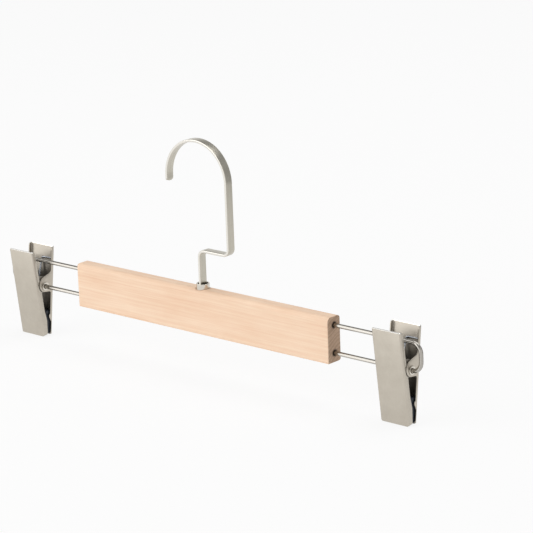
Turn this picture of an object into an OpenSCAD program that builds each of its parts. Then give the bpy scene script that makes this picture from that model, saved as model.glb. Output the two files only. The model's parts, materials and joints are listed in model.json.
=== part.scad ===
// Trouser hanger: a wooden bar hangs and turns under a flat strip hook. A wire loop at each
// end of the bar carries one sprung clip, which slides along the loop and swings on it.
// X runs along the bar, Y towards the back and Z up. The origin is the centre of the hook's
// arc, halfway across the strip, which is the line of the rail that it hangs on.

/* [Bar] */
// Length of the wooden bar
bar_l = 220; // [160:1:300]
// Thickness of the bar, front to back
bar_t = 12; // [11:0.5:16]
// Height of the bar
bar_h = 30; // [27:0.5:40]
// Radius of the two long top edges
bar_top_r = 3.3; // [1:0.1:4.5]
// Radius of the long bottom edge at the back
bar_back_r = 3; // [1:0.1:4.5]
// Radius of the long bottom edge at the front, and of the edges round both ends
bar_edge_r = 0.8; // [0.3:0.1:1.5]

/* [Hook] */
// Width of the hook's strip
strip_w = 6.1; // [4.5:0.1:8]
// Thickness of the strip
strip_t = 1.8; // [1.5:0.1:2.4]
// Radius of the strip's long edges
strip_edge_r = 0.5; // [0.2:0.05:0.7]
// Inside radius of the hook, where the rail sits
rail_r = 24.7; // [18:0.1:32]
// Height of the arc's centre above the top of the bar
hook_h = 72.2; // [60:0.1:100]
// Height of the side step in the strip above the top of the bar
step_h = 25.5; // [16:0.1:28]
// Inside radius of the strip's two tight bends
bend_r = 3.6; // [2:0.1:6]
// Straight end of the hook below the arc's centre
tip_l = 3.9; // [2.5:0.1:12]
// Radius of the two corners at the hook's tip
tip_r = 2; // [0.8:0.1:2.2]

/* [Swivel] */
// Outside diameter of the ferrule in the bar
ferrule_d = 8.8; // [8.2:0.1:10]
// Wall of the ferrule round the strip
ferrule_wall = 1; // [0.7:0.05:1.2]
// Height of the ferrule's ring above the bar
ferrule_up = 3.3; // [1.5:0.1:6]
// Thickness of the ferrule's floor
ferrule_floor = 1.6; // [1:0.1:3]
// Length of the stud's slotted head
stud_head_l = 7; // [6:0.1:9]
// Depth of the slot that holds the strip
slot_l = 5; // [4:0.1:5.5]
// Diameter of the stud's shank, on which the bar turns
shank_d = 4; // [3:0.1:4.4]
// Diameter of the small pin across the slot
cross_pin_d = 1.6; // [1.2:0.1:2]
// Diameter of the spread end that carries the bar
rivet_d = 6.8; // [6:0.1:8]
// Height of the spread end
rivet_h = 1.5; // [1:0.1:2]
// Diameter of the washer under the bar
washer_d = 9.6; // [8.5:0.1:10.5]
// Thickness of the washer
washer_t = 0.9; // [0.5:0.1:1.2]
// Depth of the recess in the underside of the bar
recess_h = 3.4; // [3:0.1:4]

/* [Wire loops] */
// Diameter of the wire
wire_d = 2.8; // [2.4:0.1:3.2]
// Distance between the two runs of a loop
wire_gap = 18.2; // [16:0.1:19]
// Height of the lower run above the underside of the bar
wire_low = 6.2; // [5:0.1:7.5]
// Reach of a loop beyond the end of the bar, to its wire's centre
loop_reach = 68.2; // [60:0.1:100]
// Radius of the loop's two bends, at the wire's centre
wire_bend_r = 6.6; // [5:0.1:8]
// Length of wire held inside the bar
wire_seat = 40; // [20:1:60]
// Diameter of the mouth of each wire hole
mouth_d = 3.6; // [3.4:0.1:4.5]
// Depth of that mouth
mouth_l = 3; // [1:0.1:6]

/* [Clips] */
// Width of a clip
clip_w = 22.5; // [20:0.1:30]
// Height of a clip's plates above the pivot
clip_up = 26.2; // [24:0.1:30]
// Length of a clip's plates below the pivot
clip_down = 35.4; // [32:0.1:42]
// Half the thickness of a closed clip at its top
clip_top_half = 10.8; // [10.2:0.1:12]
// Half the thickness of a closed clip at its tip
clip_tip_half = 3.7; // [3.4:0.1:4.2]
// Thickness of the sheet
sheet = 0.8; // [0.6:0.05:1]
// Inside radius of the folds
fold_r = 0.5; // [0.3:0.1:1]
// Radius of the plates' lower corners
corner_r = 2; // [1:0.1:3]
// Radius of the plates' upper corners
corner_up_r = 1.2; // [0.5:0.1:2]
// Depth of the side flanges above the pivot
flange_d = 2.9; // [2.4:0.1:3.4]
// Depth of the flange beside the window, at the side of the stepped ear
flange_deep_d = 3.6; // [3:0.1:3.8]
// Depth of the flange beside the window, at the side of the outer ear
flange_low_d = 2.5; // [2:0.1:3]
// Distance of the deeper flange from the middle plane, where the clip grips
lip_half = 0.5; // [0.3:0.05:0.8]
// Distance of the tab that holds the pad from the middle plane
tab_half = 1.8; // [1.2:0.1:2.2]
// Radius of the ears round the pivot
ear_r = 5.4; // [4.8:0.1:5.6]
// Height of the centre of an ear's round edge above the pivot
ear_rise = 1.5; // [0.5:0.1:1.6]
// Outside diameter of the pivot sleeve
sleeve_d = 4.2; // [3.9:0.1:4.6]
// Diameter of the sleeve's rolled rims
rim_d = 5.9; // [5.4:0.1:6.6]
// Thickness of the rolled rims
rim_t = 0.5; // [0.3:0.05:0.8]

/* [Springs] */
// Diameter of the spring wire
spring_d = 1.2; // [0.9:0.05:1.3]
// Radius of the coil, at the wire's centre
coil_r = 3.2; // [3.1:0.05:3.4]
// Full turns of the coil
coil_turns = 4; // [2:1:4]
// Free space between neighbouring turns
coil_gap = 0.45; // [0.42:0.01:0.6]
// Place of the coil's first turn along the clip, from the clip's middle
coil_x = 0.6; // [-4:0.1:0.8]
// Distance of the bent ends below the clip's top edge
bar_down = 8.3; // [7:0.1:10]
// Length of each bent end
spring_bar_l = 9.4; // [6:0.1:9.4]

/* [Pads] */
// Space between the two rubber pads of a closed clip
pad_gap = 0.3; // [0.2:0.05:0.6]
// Space between a pad's side and the round of the folds
pad_side = 0.1; // [0.05:0.05:1]
// Radius of the grooves in a pad's face
groove_r = 0.45; // [0.2:0.05:0.6]
// Grooves in a pad
grooves = 5; // [2:1:6]

/* [Hidden] */
$fn = 64;

// Overrun of every cut
over = 1;
// Gap of pieces that are pressed or set into each other
set_gap = 0.02;
// Gap of a running fit, on the radius
run_gap = 0.07;
// Gap between sheets and faces that pass each other
pass_gap = 0.1;

// Heights
bar_top_z = -hook_h;
bar_low_z = bar_top_z - bar_h;
wire_low_z = bar_low_z + wire_low;
wire_up_z = wire_low_z + wire_gap;

// Hook: radii at the middle of the strip
arc_r = rail_r + strip_t / 2;
bend_mid_r = bend_r + strip_t / 2;
step_z = bar_top_z + step_h;

// Swivel: the stud's head stands inside the ferrule, just under the top of the bar
stud_sink = 0.6;
recess_gap = 0.6;
ferrule_bore_r = ferrule_d / 2 - ferrule_wall;
stud_head_d = 2 * (ferrule_bore_r - pass_gap);
stud_top_z = bar_top_z - stud_sink;
floor_top_z = stud_top_z - stud_head_l - pass_gap;
ferrule_low_z = floor_top_z - ferrule_floor;
recess_z = bar_low_z + recess_h;
rivet_top_z = recess_z - washer_t - run_gap;
recess_d = washer_d + 2 * recess_gap;
ferrule_edge_share = 0.3;
ferrule_edge_r = ferrule_edge_share * ferrule_wall;
rivet_crown_share = 0.5;
pin_z = stud_top_z - slot_l / 2;

// Loops: two bends are never wider than the space between the runs
bend_limit_share = 0.47;
loop_r = min(wire_bend_r, bend_limit_share * wire_gap);
loop_bend_x = bar_l / 2 + loop_reach - loop_r;

// Clips: a closed clip's plates lean towards each other
clip_slope = (clip_top_half - clip_tip_half) / (clip_up + clip_down);
clip_tilt = atan(clip_slope);
sleeve_half = clip_w / 2 + pass_gap + rim_t;
clip_x = loop_bend_x - sleeve_half - pass_gap;
fold_d = sheet + fold_r;

// Free space round an ear for the turn of the two plates, and the drop from the ear's
// round edge to the corner of the window
ear_clear = 0.8;
ear_drop = 0.7;
// Distance of a flange's upper corner below the top edge
flange_drop = 1.2;
// Round corners of the flanges: at the top, at the neck above the ear, and in the window
flange_corner_r = 1.6;
neck_r = 2.2;
window_r = 1.2;
tab_r = 0.7;
tab_h = 1.8;

// Places along a plate, as shares of its length above or below the pivot
neck_share = 0.33;
swell_share = 0.46;
pad_top_share = 0.51;
tab_top_share = 0.585;
grip_share = 0.68;
tab_low_share = 0.74;

// Distance of the outer face of a plate from the middle plane, at height z from the pivot
function face_y(z) = clip_tip_half + (z + clip_down) * clip_slope;
// Distance of its inner face
function inner_y(z) = face_y(z) - sheet / cos(clip_tilt);

// Pads
pad_half = clip_w / 2 - fold_d - pad_side;
pad_top_z = -pad_top_share * clip_down;
pad_low_z = sheet - clip_down;
pad_lead = 2 * groove_r;
groove_step = (pad_top_z - pad_low_z - 2 * pad_lead) / grooves;

function unit(v) = v / norm(v);

// Outline with round corners, from corners given as [y, z, radius]
corner_steps = 6;
function rounded(corners) = [
    for (i = [0:len(corners) - 1])
        let (
            n = len(corners), r = corners[i][2],
            at = [corners[i][0], corners[i][1]],
            before = [corners[(i + n - 1) % n][0], corners[(i + n - 1) % n][1]],
            after = [corners[(i + 1) % n][0], corners[(i + 1) % n][1]],
            back = unit(before - at), on = unit(after - at),
            half = acos(back * on) / 2,
            centre = at + unit(back + on) * r / sin(half),
            first = at + back * r / tan(half) - centre,
            last = at + on * r / tan(half) - centre
        )
        each r == 0 ? [at] : [
            for (k = [0:corner_steps])
                centre + r * unit(first + (last - first) * k / corner_steps)
        ]
];

// Rectangle about the origin, with a radius for each corner in turn:
// low left, low right, top right, top left
module round_rect(w, h, r) {
    polygon([
        [-w / 2, -h / 2 + r[0]], [-w / 2 + r[0], -h / 2],
        [w / 2 - r[1], -h / 2], [w / 2, -h / 2 + r[1]],
        [w / 2, h / 2 - r[2]], [w / 2 - r[2], h / 2],
        [-w / 2 + r[3], h / 2], [-w / 2, h / 2 - r[3]]
    ]);
    signs = [[-1, -1], [1, -1], [1, 1], [-1, 1]];
    for (i = [0:3])
        if (r[i] > 0)
            translate([signs[i][0] * (w / 2 - r[i]), signs[i][1] * (h / 2 - r[i])])
                circle(r[i]);
}

// Round rod along X
module rod_x(x0, x1, d) {
    translate([x0, 0, 0]) rotate([0, 90, 0]) cylinder(d = d, h = x1 - x0);
}

// A flat shape drawn in (Y, Z), pushed along X
module along_x(x0, x1) {
    translate([x0, 0, 0]) rotate([90, 0, 90]) linear_extrude(x1 - x0) children();
}

// Part of a ring in the XZ plane, from angle a0 to a1, swept by a section at radius r
module arc_xz(x, z, r, a0, a1) {
    translate([x, 0, z]) rotate([90, 0, 0]) rotate([0, 0, a0])
        rotate_extrude(angle = a1 - a0) translate([r, 0]) children();
}

// Cross-section of the hook's strip: thickness, then width
module strip_section() {
    round_rect(strip_t, strip_w, [strip_edge_r, strip_edge_r, strip_edge_r, strip_edge_r]);
}

// Upright run of the strip
module strip_up(x, z0, z1) {
    translate([x, 0, z0]) linear_extrude(z1 - z0) strip_section();
}

module hook() {
    tail_z = stud_top_z - slot_l + set_gap;
    color("silver")
    difference() {
        union() {
            strip_up(0, tail_z, step_z - bend_mid_r);
            arc_xz(bend_mid_r, step_z - bend_mid_r, bend_mid_r, 90, 180) strip_section();
            translate([bend_mid_r, 0, step_z]) rotate([0, 90, 0])
                linear_extrude(arc_r - 2 * bend_mid_r) strip_section();
            arc_xz(arc_r - bend_mid_r, step_z + bend_mid_r, bend_mid_r, 270, 360)
                strip_section();
            strip_up(arc_r, step_z + bend_mid_r, 0);
            arc_xz(0, 0, arc_r, 0, 180) strip_section();
            hook_tip();
        }
        translate([0, 0, pin_z]) rod_x(-strip_w, strip_w, cross_pin_d + 2 * set_gap);
    }
}

// Straight end of the strip, with round corners
module hook_tip() {
    intersection() {
        strip_up(-arc_r, -tip_l, 0);
        along_x(-arc_r - strip_t, -arc_r + strip_t)
            translate([0, strip_w - tip_l])
                round_rect(strip_w, 2 * strip_w, [tip_r, tip_r, 0, 0]);
    }
}

module swivel_stud() {
    color("dimgray")
    difference() {
        union() {
            translate([0, 0, stud_top_z - stud_head_l]) cylinder(d = stud_head_d, h = stud_head_l);
            translate([0, 0, rivet_top_z])
                cylinder(d = shank_d, h = stud_top_z - stud_head_l - rivet_top_z);
            translate([0, 0, rivet_top_z - rivet_h * rivet_crown_share])
                cylinder(d = rivet_d, h = rivet_h * rivet_crown_share);
            translate([0, 0, rivet_top_z - rivet_h])
                cylinder(d1 = shank_d, d2 = rivet_d, h = rivet_h * (1 - rivet_crown_share));
        }
        translate([-strip_t / 2 - set_gap, -stud_head_d, stud_top_z - slot_l])
            cube([strip_t + 2 * set_gap, 2 * stud_head_d, slot_l + over]);
        translate([0, 0, pin_z]) rod_x(-stud_head_d, stud_head_d, cross_pin_d + 2 * set_gap);
    }
}

module hook_cross_pin() {
    half = stud_head_d / 2 - pass_gap;
    color("gray") translate([0, 0, pin_z]) rod_x(-half, half, cross_pin_d);
}

module ferrule() {
    wall_h = bar_top_z + ferrule_up - ferrule_low_z;
    e = ferrule_edge_r;
    color("lightgray")
    rotate_extrude() {
        translate([ferrule_d / 2 - ferrule_wall / 2, ferrule_low_z + wall_h / 2])
            round_rect(ferrule_wall, wall_h, [0, e, e, e]);
        floor_r = shank_d / 2 + run_gap;
        translate([floor_r, ferrule_low_z])
            square([ferrule_bore_r + ferrule_wall / 2 - floor_r, ferrule_floor]);
    }
}

module hook_washer() {
    color("darkgray")
    translate([0, 0, recess_z - washer_t])
        difference() {
            cylinder(d = washer_d, h = washer_t);
            translate([0, 0, -over]) cylinder(d = shank_d + 2 * run_gap, h = washer_t + 2 * over);
        }
}

// Bar with all its edges rounded, before it is drilled
module bar_blank() {
    e = bar_edge_r;
    translate([0, 0, bar_low_z + bar_h / 2])
        intersection() {
            along_x(-bar_l / 2, bar_l / 2)
                round_rect(bar_t, bar_h, [bar_edge_r, bar_back_r, bar_top_r, bar_top_r]);
            translate([0, 0, -bar_h]) linear_extrude(2 * bar_h)
                round_rect(bar_l, bar_t, [e, e, e, e]);
            translate([0, bar_t, 0]) rotate([90, 0, 0]) linear_extrude(2 * bar_t)
                round_rect(bar_l, bar_h, [e, e, e, e]);
        }
}

module wooden_bar() {
    seat_x = bar_l / 2 - wire_seat - set_gap;
    color([0.93, 0.77, 0.62])
    difference() {
        bar_blank();
        translate([0, 0, ferrule_low_z - set_gap])
            cylinder(d = ferrule_d + 2 * set_gap, h = hook_h);
        translate([0, 0, bar_low_z]) cylinder(d = shank_d + 4 * run_gap, h = bar_h);
        translate([0, 0, bar_low_z - over]) cylinder(d = recess_d, h = recess_h + over);
        for (side = [-1, 1], z = [wire_low_z, wire_up_z])
            translate([0, 0, z]) {
                middle = side * (bar_l / 2 + seat_x) / 2;
                half = (bar_l / 2 - seat_x) / 2;
                rod_x(middle - half, middle + half, wire_d + 2 * set_gap);
                rod_x(side * bar_l / 2 - mouth_l, side * bar_l / 2 + mouth_l, mouth_d);
            }
    }
}

// The right loop: two straight runs, two bends and the short upright between them
module wire_loop() {
    start_x = bar_l / 2 - wire_seat;
    color("silver") {
        for (z = [wire_low_z, wire_up_z])
            translate([0, 0, z]) rod_x(start_x, loop_bend_x, wire_d);
        arc_xz(loop_bend_x, wire_up_z - loop_r, loop_r, 0, 90) circle(d = wire_d);
        arc_xz(loop_bend_x, wire_low_z + loop_r, loop_r, 270, 360) circle(d = wire_d);
        translate([loop_bend_x + loop_r, 0, wire_low_z + loop_r])
            cylinder(d = wire_d, h = wire_gap - 2 * loop_r);
    }
}

module left_wire_loop() { mirror([1, 0, 0]) wire_loop(); }
module right_wire_loop() { wire_loop(); }

// Place of a clip: its pivot is on the lower run, and it rests at the outer end
module clip_place(side) {
    translate([side * clip_x, 0, wire_low_z]) children();
}

// The two plates of a clip are one stamping, used twice: the front one is the rear one
// turned half round, so that one ear of each lies inside the ear of the other
module front_half() { rotate([0, 0, 180]) children(); }

// Frame that leans with the rear plate: Y points out of its outer face
module on_plate() {
    translate([0, face_y(0), 0]) rotate([-clip_tilt, 0, 0]) children();
}

// Solid under the sheet's outer or inner skin, set in by a given distance
module skin_block(inset, r) {
    far = clip_up + clip_down;
    deep = 2 * clip_top_half;
    on_plate() translate([0, -inset - deep / 2, -far]) linear_extrude(2 * far)
        round_rect(clip_w - 2 * inset, deep, [0, 0, r, r]);
}

// Outline of the plate seen from the back, with its round corners
module face_block() {
    up = clip_up / cos(clip_tilt);
    down = clip_down / cos(clip_tilt);
    deep = 3 * clip_top_half;
    on_plate() translate([0, deep / 2, (up - down) / 2]) rotate([90, 0, 0]) linear_extrude(deep)
        round_rect(clip_w, up + down, [corner_r, corner_r, corner_up_r, corner_up_r]);
}

// Side view of the rear plate: corners of its flanges, each at a depth under the outer face
function at_depth(z, depth, r) = [face_y(z) - depth, z, r];

neck_z = neck_share * clip_up;
arm_low_z = ear_rise - ear_r - ear_drop;
neck_corner = at_depth(neck_z, flange_d, neck_r);

// Point where a line from p runs into the ear's round edge, almost as its tangent; way is 1
// above and -1 below
function touch(p, way) =
    let (
        r = ear_r - set_gap,
        v = [p[0], p[1] - ear_rise],
        a = atan2(v[1], v[0]) + way * acos(r / norm(v))
    )
    [r * cos(a), ear_rise + r * sin(a), 0];

// Upper stretch of both flanges, from the outside round to the neck
flange_top = [
    [clip_top_half + over, clip_up + over, 0],
    at_depth(clip_up + over, fold_d, 0),
    at_depth(clip_up, fold_d, 0),
    at_depth(clip_up - flange_drop, flange_d, flange_corner_r)
];
flange_end = [[clip_top_half + over, -clip_down - over, 0]];

// Flange at the side of the stepped ear: it closes the jaw down to the tip
module deep_flange() {
    polygon(rounded(concat(
        flange_top,
        [
            at_depth(neck_z, flange_d, 0),
            at_depth(arm_low_z, flange_deep_d, 0),
            at_depth(-swell_share * clip_down, flange_deep_d, window_r),
            [lip_half, -grip_share * clip_down, window_r],
            [lip_half, -clip_down - over, 0]
        ],
        flange_end
    )));
}

// Flange at the side of the outer ear: it carries the ear, and below the window a tab
// that holds the pad
module shallow_flange() {
    window_corner = at_depth(arm_low_z, flange_low_d, window_r);
    tab_z = -tab_top_share * clip_down;
    polygon(rounded(concat(
        flange_top,
        [
            neck_corner,
            touch(neck_corner, 1),
            [0, ear_rise, 0],
            touch(window_corner, -1),
            window_corner,
            at_depth(tab_z, flange_low_d, tab_r),
            [tab_half, tab_z, tab_r],
            [tab_half, tab_z - tab_h, tab_r],
            at_depth(-tab_low_share * clip_down, fold_d, window_r),
            at_depth(-clip_down - over, fold_d, 0)
        ],
        flange_end
    )));
}

// Round edge of an ear
module ear_disc(r) { translate([0, ear_rise]) circle(r); }

// Ear that is stepped in by the thickness of the sheet, so that it lies inside the outer
// ear of the opposite plate
module stepped_ear() {
    x0 = -clip_w / 2;
    x1 = x0 + sheet + pass_gap;
    wall_y = ear_r + ear_clear + set_gap;
    low_corner = [wall_y, arm_low_z, 0];
    along_x(x1, x1 + sheet) {
        ear_disc(ear_r);
        polygon(rounded([
            touch(neck_corner, 1), [0, ear_rise, 0], touch(low_corner, -1), low_corner,
            [wall_y + sheet, arm_low_z, 0], [wall_y + sheet, neck_z, 0], neck_corner
        ]));
    }
    translate([x0, wall_y, arm_low_z])
        cube([x1 + sheet - x0, sheet, neck_z - arm_low_z]);
}

module clip_plate() {
    color([0.66, 0.64, 0.6])
    difference() {
        intersection() {
            skin_block(0, fold_d);
            face_block();
            union() {
                difference() {
                    union() {
                        along_x(-clip_w, 0) deep_flange();
                        along_x(0, clip_w) shallow_flange();
                        along_x(clip_w / 2 - sheet, clip_w) ear_disc(ear_r);
                    }
                    skin_block(sheet, fold_r);
                    along_x(-clip_w, sheet + pass_gap - clip_w / 2)
                        ear_disc(ear_r + ear_clear);
                }
                stepped_ear();
            }
        }
        rod_x(-clip_w, clip_w, sleeve_d + 2 * run_gap);
    }
}

// Tube on the lower run, with a rolled rim outside each pair of ears
module pivot_sleeve() {
    color("lightgray")
    difference() {
        union() {
            rod_x(-sleeve_half, sleeve_half, sleeve_d);
            rod_x(-sleeve_half, rim_t - sleeve_half, rim_d);
            rod_x(sleeve_half - rim_t, sleeve_half, rim_d);
        }
        rod_x(-clip_w, clip_w, wire_d + 2 * run_gap);
    }
}

// Rubber pad of the rear plate: flat on the sheet, grooved where it grips
module clip_pad() {
    face = pad_gap / 2;
    color([0.11, 0.13, 0.17])
    along_x(-pad_half, pad_half)
        difference() {
            polygon([
                [inner_y(pad_top_z), pad_top_z],
                [face + pad_lead, pad_top_z],
                [face, pad_top_z - pad_lead],
                [face, pad_low_z + pad_lead / 2],
                [face + pad_lead / 2, pad_low_z],
                [inner_y(pad_low_z), pad_low_z]
            ]);
            for (i = [0:grooves - 1])
                translate([face, pad_low_z + pad_lead + (i + 0.5) * groove_step])
                    circle(groove_r);
        }
}

// Spring: one unbroken wire. From the end of the rear bent end it runs along the rear
// plate, down to the coil, round the sleeve, up to the front plate and along that.
coil_rings = 8;
tube_sides = 6;
corner_rings = 3;
coil_pitch = spring_d + coil_gap;
spring_z = clip_up - bar_down;
spring_y = inner_y(spring_z) - (spring_d / 2 + run_gap) / cos(clip_tilt);
spring_reach = norm([spring_y, spring_z]);
leg_lean = atan2(spring_y, spring_z) - asin(coil_r / spring_reach);
leg_l = spring_reach * cos(asin(coil_r / spring_reach));
corner_l = 1.5 * spring_d;
coil_sweep = 360 * coil_turns + 180 - 2 * leg_lean;
coil_steps = round(coil_rings * coil_sweep / 360);
coil_l = coil_pitch * coil_sweep / 360;

// Point of a leg, at a distance from the coil; way is 1 for the rear leg, -1 for the front
function leg_point(way, x, l) =
    [x, way * (coil_r * cos(leg_lean) + l * sin(leg_lean)),
        -coil_r * sin(leg_lean) + l * cos(leg_lean)];

// Bent end of a leg, from the coil outwards: a short round corner, then the straight bar
function end_points(way, x) =
    let (top = leg_point(way, x, leg_l), low = leg_point(way, x, leg_l - corner_l))
    concat(
        [leg_point(way, x, spring_d)],
        [for (i = [0:corner_rings])
            let (a = 90 * i / corner_rings)
            low + (top - low) * sin(a) + [way * corner_l * (1 - cos(a)), 0, 0]],
        [top + [way * (spring_bar_l - spring_d), 0, 0], top + [way * spring_bar_l, 0, 0]]
    );

function reversed(list) = [for (i = [len(list) - 1:-1:0]) list[i]];

spring_path = concat(
    reversed(end_points(1, coil_x)),
    [for (i = [0:coil_steps])
        let (a = -leg_lean - coil_sweep * i / coil_steps)
        [coil_x + coil_l * i / coil_steps, coil_r * cos(a), coil_r * sin(a)]],
    end_points(-1, coil_x + coil_l)
);

function tangent(path, i) =
    unit(path[min(i + 1, len(path) - 1)] - path[max(i - 1, 0)]);
// Side direction carried along the wire without twisting
function carry(side, t) = unit(side - (side * t) * t);

function tube_points(path, r, sides) =
    let (first = tangent(path, 0), start = carry([0, 0, 1], first))
    [for (i = 0, s = start; i < len(path);
            i = i + 1, s = i < len(path) ? carry(s, tangent(path, i)) : s)
        let (t = tangent(path, i), b = cross(t, s))
        for (k = [0:sides - 1])
            path[i] + r * (cos(360 * k / sides) * s + sin(360 * k / sides) * b)];

function tube_faces(rings, sides) = concat(
    [for (i = [0:rings - 2], k = [0:sides - 1])
        let (a = i * sides + k, b = i * sides + (k + 1) % sides)
        each [[a, b + sides, b], [a, a + sides, b + sides]]],
    [for (k = [1:sides - 2]) [0, k, k + 1]],
    [for (k = [1:sides - 2])
        let (last = (rings - 1) * sides)
        [last, last + k + 1, last + k]]
);

module clip_spring() {
    color("gainsboro")
    polyhedron(
        tube_points(spring_path, spring_d / 2, tube_sides),
        tube_faces(len(spring_path), tube_sides)
    );
}

// Least space between two stretches of the spring that are most of a turn apart
spring_space = min([
    for (i = [0:len(spring_path) - 1], j = [0:len(spring_path) - 1])
        if (j - i >= coil_rings - 2) norm(spring_path[i] - spring_path[j])
]) - spring_d;
echo(least_gap_of_spring_to_itself = spring_space);

module left_pivot_sleeve() { clip_place(-1) pivot_sleeve(); }
module left_spring() { clip_place(-1) clip_spring(); }
module left_front_plate() { clip_place(-1) front_half() clip_plate(); }
module left_rear_plate() { clip_place(-1) clip_plate(); }
module left_front_pad() { clip_place(-1) front_half() clip_pad(); }
module left_rear_pad() { clip_place(-1) clip_pad(); }
module right_pivot_sleeve() { clip_place(1) pivot_sleeve(); }
module right_spring() { clip_place(1) clip_spring(); }
module right_front_plate() { clip_place(1) front_half() clip_plate(); }
module right_rear_plate() { clip_place(1) clip_plate(); }
module right_front_pad() { clip_place(1) front_half() clip_pad(); }
module right_rear_pad() { clip_place(1) clip_pad(); }

hook();
swivel_stud();
hook_cross_pin();
ferrule();
hook_washer();
wooden_bar();
left_wire_loop();
right_wire_loop();
left_pivot_sleeve();
left_spring();
left_front_plate();
left_rear_plate();
left_front_pad();
left_rear_pad();
right_pivot_sleeve();
right_spring();
right_front_plate();
right_rear_plate();
right_front_pad();
right_rear_pad();
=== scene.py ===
# %% [markdown]
# # A trouser hanger, dressed
# The solids of the hanger come packed as a fixed frame: every piece is already in its place,
# in metres. This lesson gives them their looks, one step at a time: first the camera, then
# the way node trees are written, the light, each finish, and last the pieces that are made
# again in finer form, such as the bent strip, the wire and the springs.

# %% Load the frame and keep its box
import json
import math

import bmesh
import bpy
from mathutils import Matrix, Vector

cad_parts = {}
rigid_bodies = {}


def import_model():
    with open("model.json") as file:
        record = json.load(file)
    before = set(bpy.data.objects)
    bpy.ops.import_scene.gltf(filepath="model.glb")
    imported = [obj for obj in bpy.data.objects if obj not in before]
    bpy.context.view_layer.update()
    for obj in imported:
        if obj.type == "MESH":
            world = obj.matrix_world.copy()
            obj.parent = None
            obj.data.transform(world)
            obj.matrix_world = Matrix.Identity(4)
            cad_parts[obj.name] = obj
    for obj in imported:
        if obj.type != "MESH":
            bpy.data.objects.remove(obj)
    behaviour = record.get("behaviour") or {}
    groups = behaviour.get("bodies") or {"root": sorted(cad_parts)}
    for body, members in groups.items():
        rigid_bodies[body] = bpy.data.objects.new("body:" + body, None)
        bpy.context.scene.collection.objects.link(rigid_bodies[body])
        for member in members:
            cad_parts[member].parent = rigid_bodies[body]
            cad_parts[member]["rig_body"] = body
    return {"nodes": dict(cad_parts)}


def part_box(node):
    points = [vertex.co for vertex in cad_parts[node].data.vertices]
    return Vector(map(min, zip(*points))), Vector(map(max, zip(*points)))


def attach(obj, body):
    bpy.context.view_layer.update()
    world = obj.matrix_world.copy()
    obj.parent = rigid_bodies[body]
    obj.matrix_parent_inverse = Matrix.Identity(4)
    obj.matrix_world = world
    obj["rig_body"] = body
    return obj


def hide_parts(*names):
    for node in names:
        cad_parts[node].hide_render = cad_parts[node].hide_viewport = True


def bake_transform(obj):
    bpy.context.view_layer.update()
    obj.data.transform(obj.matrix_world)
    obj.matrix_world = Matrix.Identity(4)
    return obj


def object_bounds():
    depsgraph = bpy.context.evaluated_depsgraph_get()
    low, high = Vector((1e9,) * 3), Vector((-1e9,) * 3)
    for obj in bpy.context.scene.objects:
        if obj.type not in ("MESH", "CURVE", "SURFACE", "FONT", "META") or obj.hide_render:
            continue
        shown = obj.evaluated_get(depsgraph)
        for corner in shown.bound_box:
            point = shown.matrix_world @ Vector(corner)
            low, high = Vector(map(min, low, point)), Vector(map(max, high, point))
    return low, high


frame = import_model()
cad_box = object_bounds()
MM = 0.001
print("box of the solids in mm:", [[round(v / MM, 1) for v in corner] for corner in cad_box])

# %% [markdown]
# ## Camera
# A product photograph is usually taken from far away with a long lens, so that parallel
# edges stay nearly parallel. The camera stands to the right and a little above, and it is
# rolled by two degrees. Its matrix is built from three directions: right, up and back.
# That is exact, where aiming with a constraint would leave the roll to a second step.

# %% Camera
AZIMUTH, ELEVATION, ROLL = math.radians(41.88), math.radians(15.89), math.radians(-2.12)
CAMERA_PLACE = Vector((1100.3, -1165.1, 396.5)) * MM
LENS_PX, FRAME_PX, SENSOR = 2582.99, 533, 36.0
NEAR, FAR = 0.05, 60


def add_object(name, data):
    """New object with this data, linked into the scene."""
    made = bpy.data.objects.new(name, data)
    bpy.context.scene.collection.objects.link(made)
    return made


def make_camera():
    """Camera from its three axes, with no aim constraint."""
    back = Vector((
        math.sin(AZIMUTH) * math.cos(ELEVATION),
        -math.cos(AZIMUTH) * math.cos(ELEVATION),
        math.sin(ELEVATION),
    ))
    level = (-back).cross(Vector((0, 0, 1))).normalized()
    upright = level.cross(-back)
    c, s = math.cos(ROLL), math.sin(ROLL)
    right, up = c * level + s * upright, c * upright - s * level
    lens = bpy.data.cameras.new("camera")
    lens.sensor_width = SENSOR
    lens.lens = LENS_PX * SENSOR / FRAME_PX
    lens.clip_start, lens.clip_end = NEAR, FAR
    made = add_object("camera", lens)
    made.matrix_world = Matrix((
        (right.x, up.x, back.x, CAMERA_PLACE.x),
        (right.y, up.y, back.y, CAMERA_PLACE.y),
        (right.z, up.z, back.z, CAMERA_PLACE.z),
        (0, 0, 0, 1),
    ))
    return made


bpy.context.scene.camera = make_camera()
bpy.context.scene.view_settings.view_transform = "Standard"
print("lens in mm:", round(bpy.context.scene.camera.data.lens, 1))

# %% [markdown]
# ## Writing node trees as sums
# A shader is a tree of small nodes. Adding each Math node by hand takes four lines, and the
# sum is hard to read afterwards. Here one class wraps a socket and takes part in ordinary
# Python sums, and one method adds every other kind of node. The same two serve shaders and
# Geometry Nodes, because both are node trees.


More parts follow.
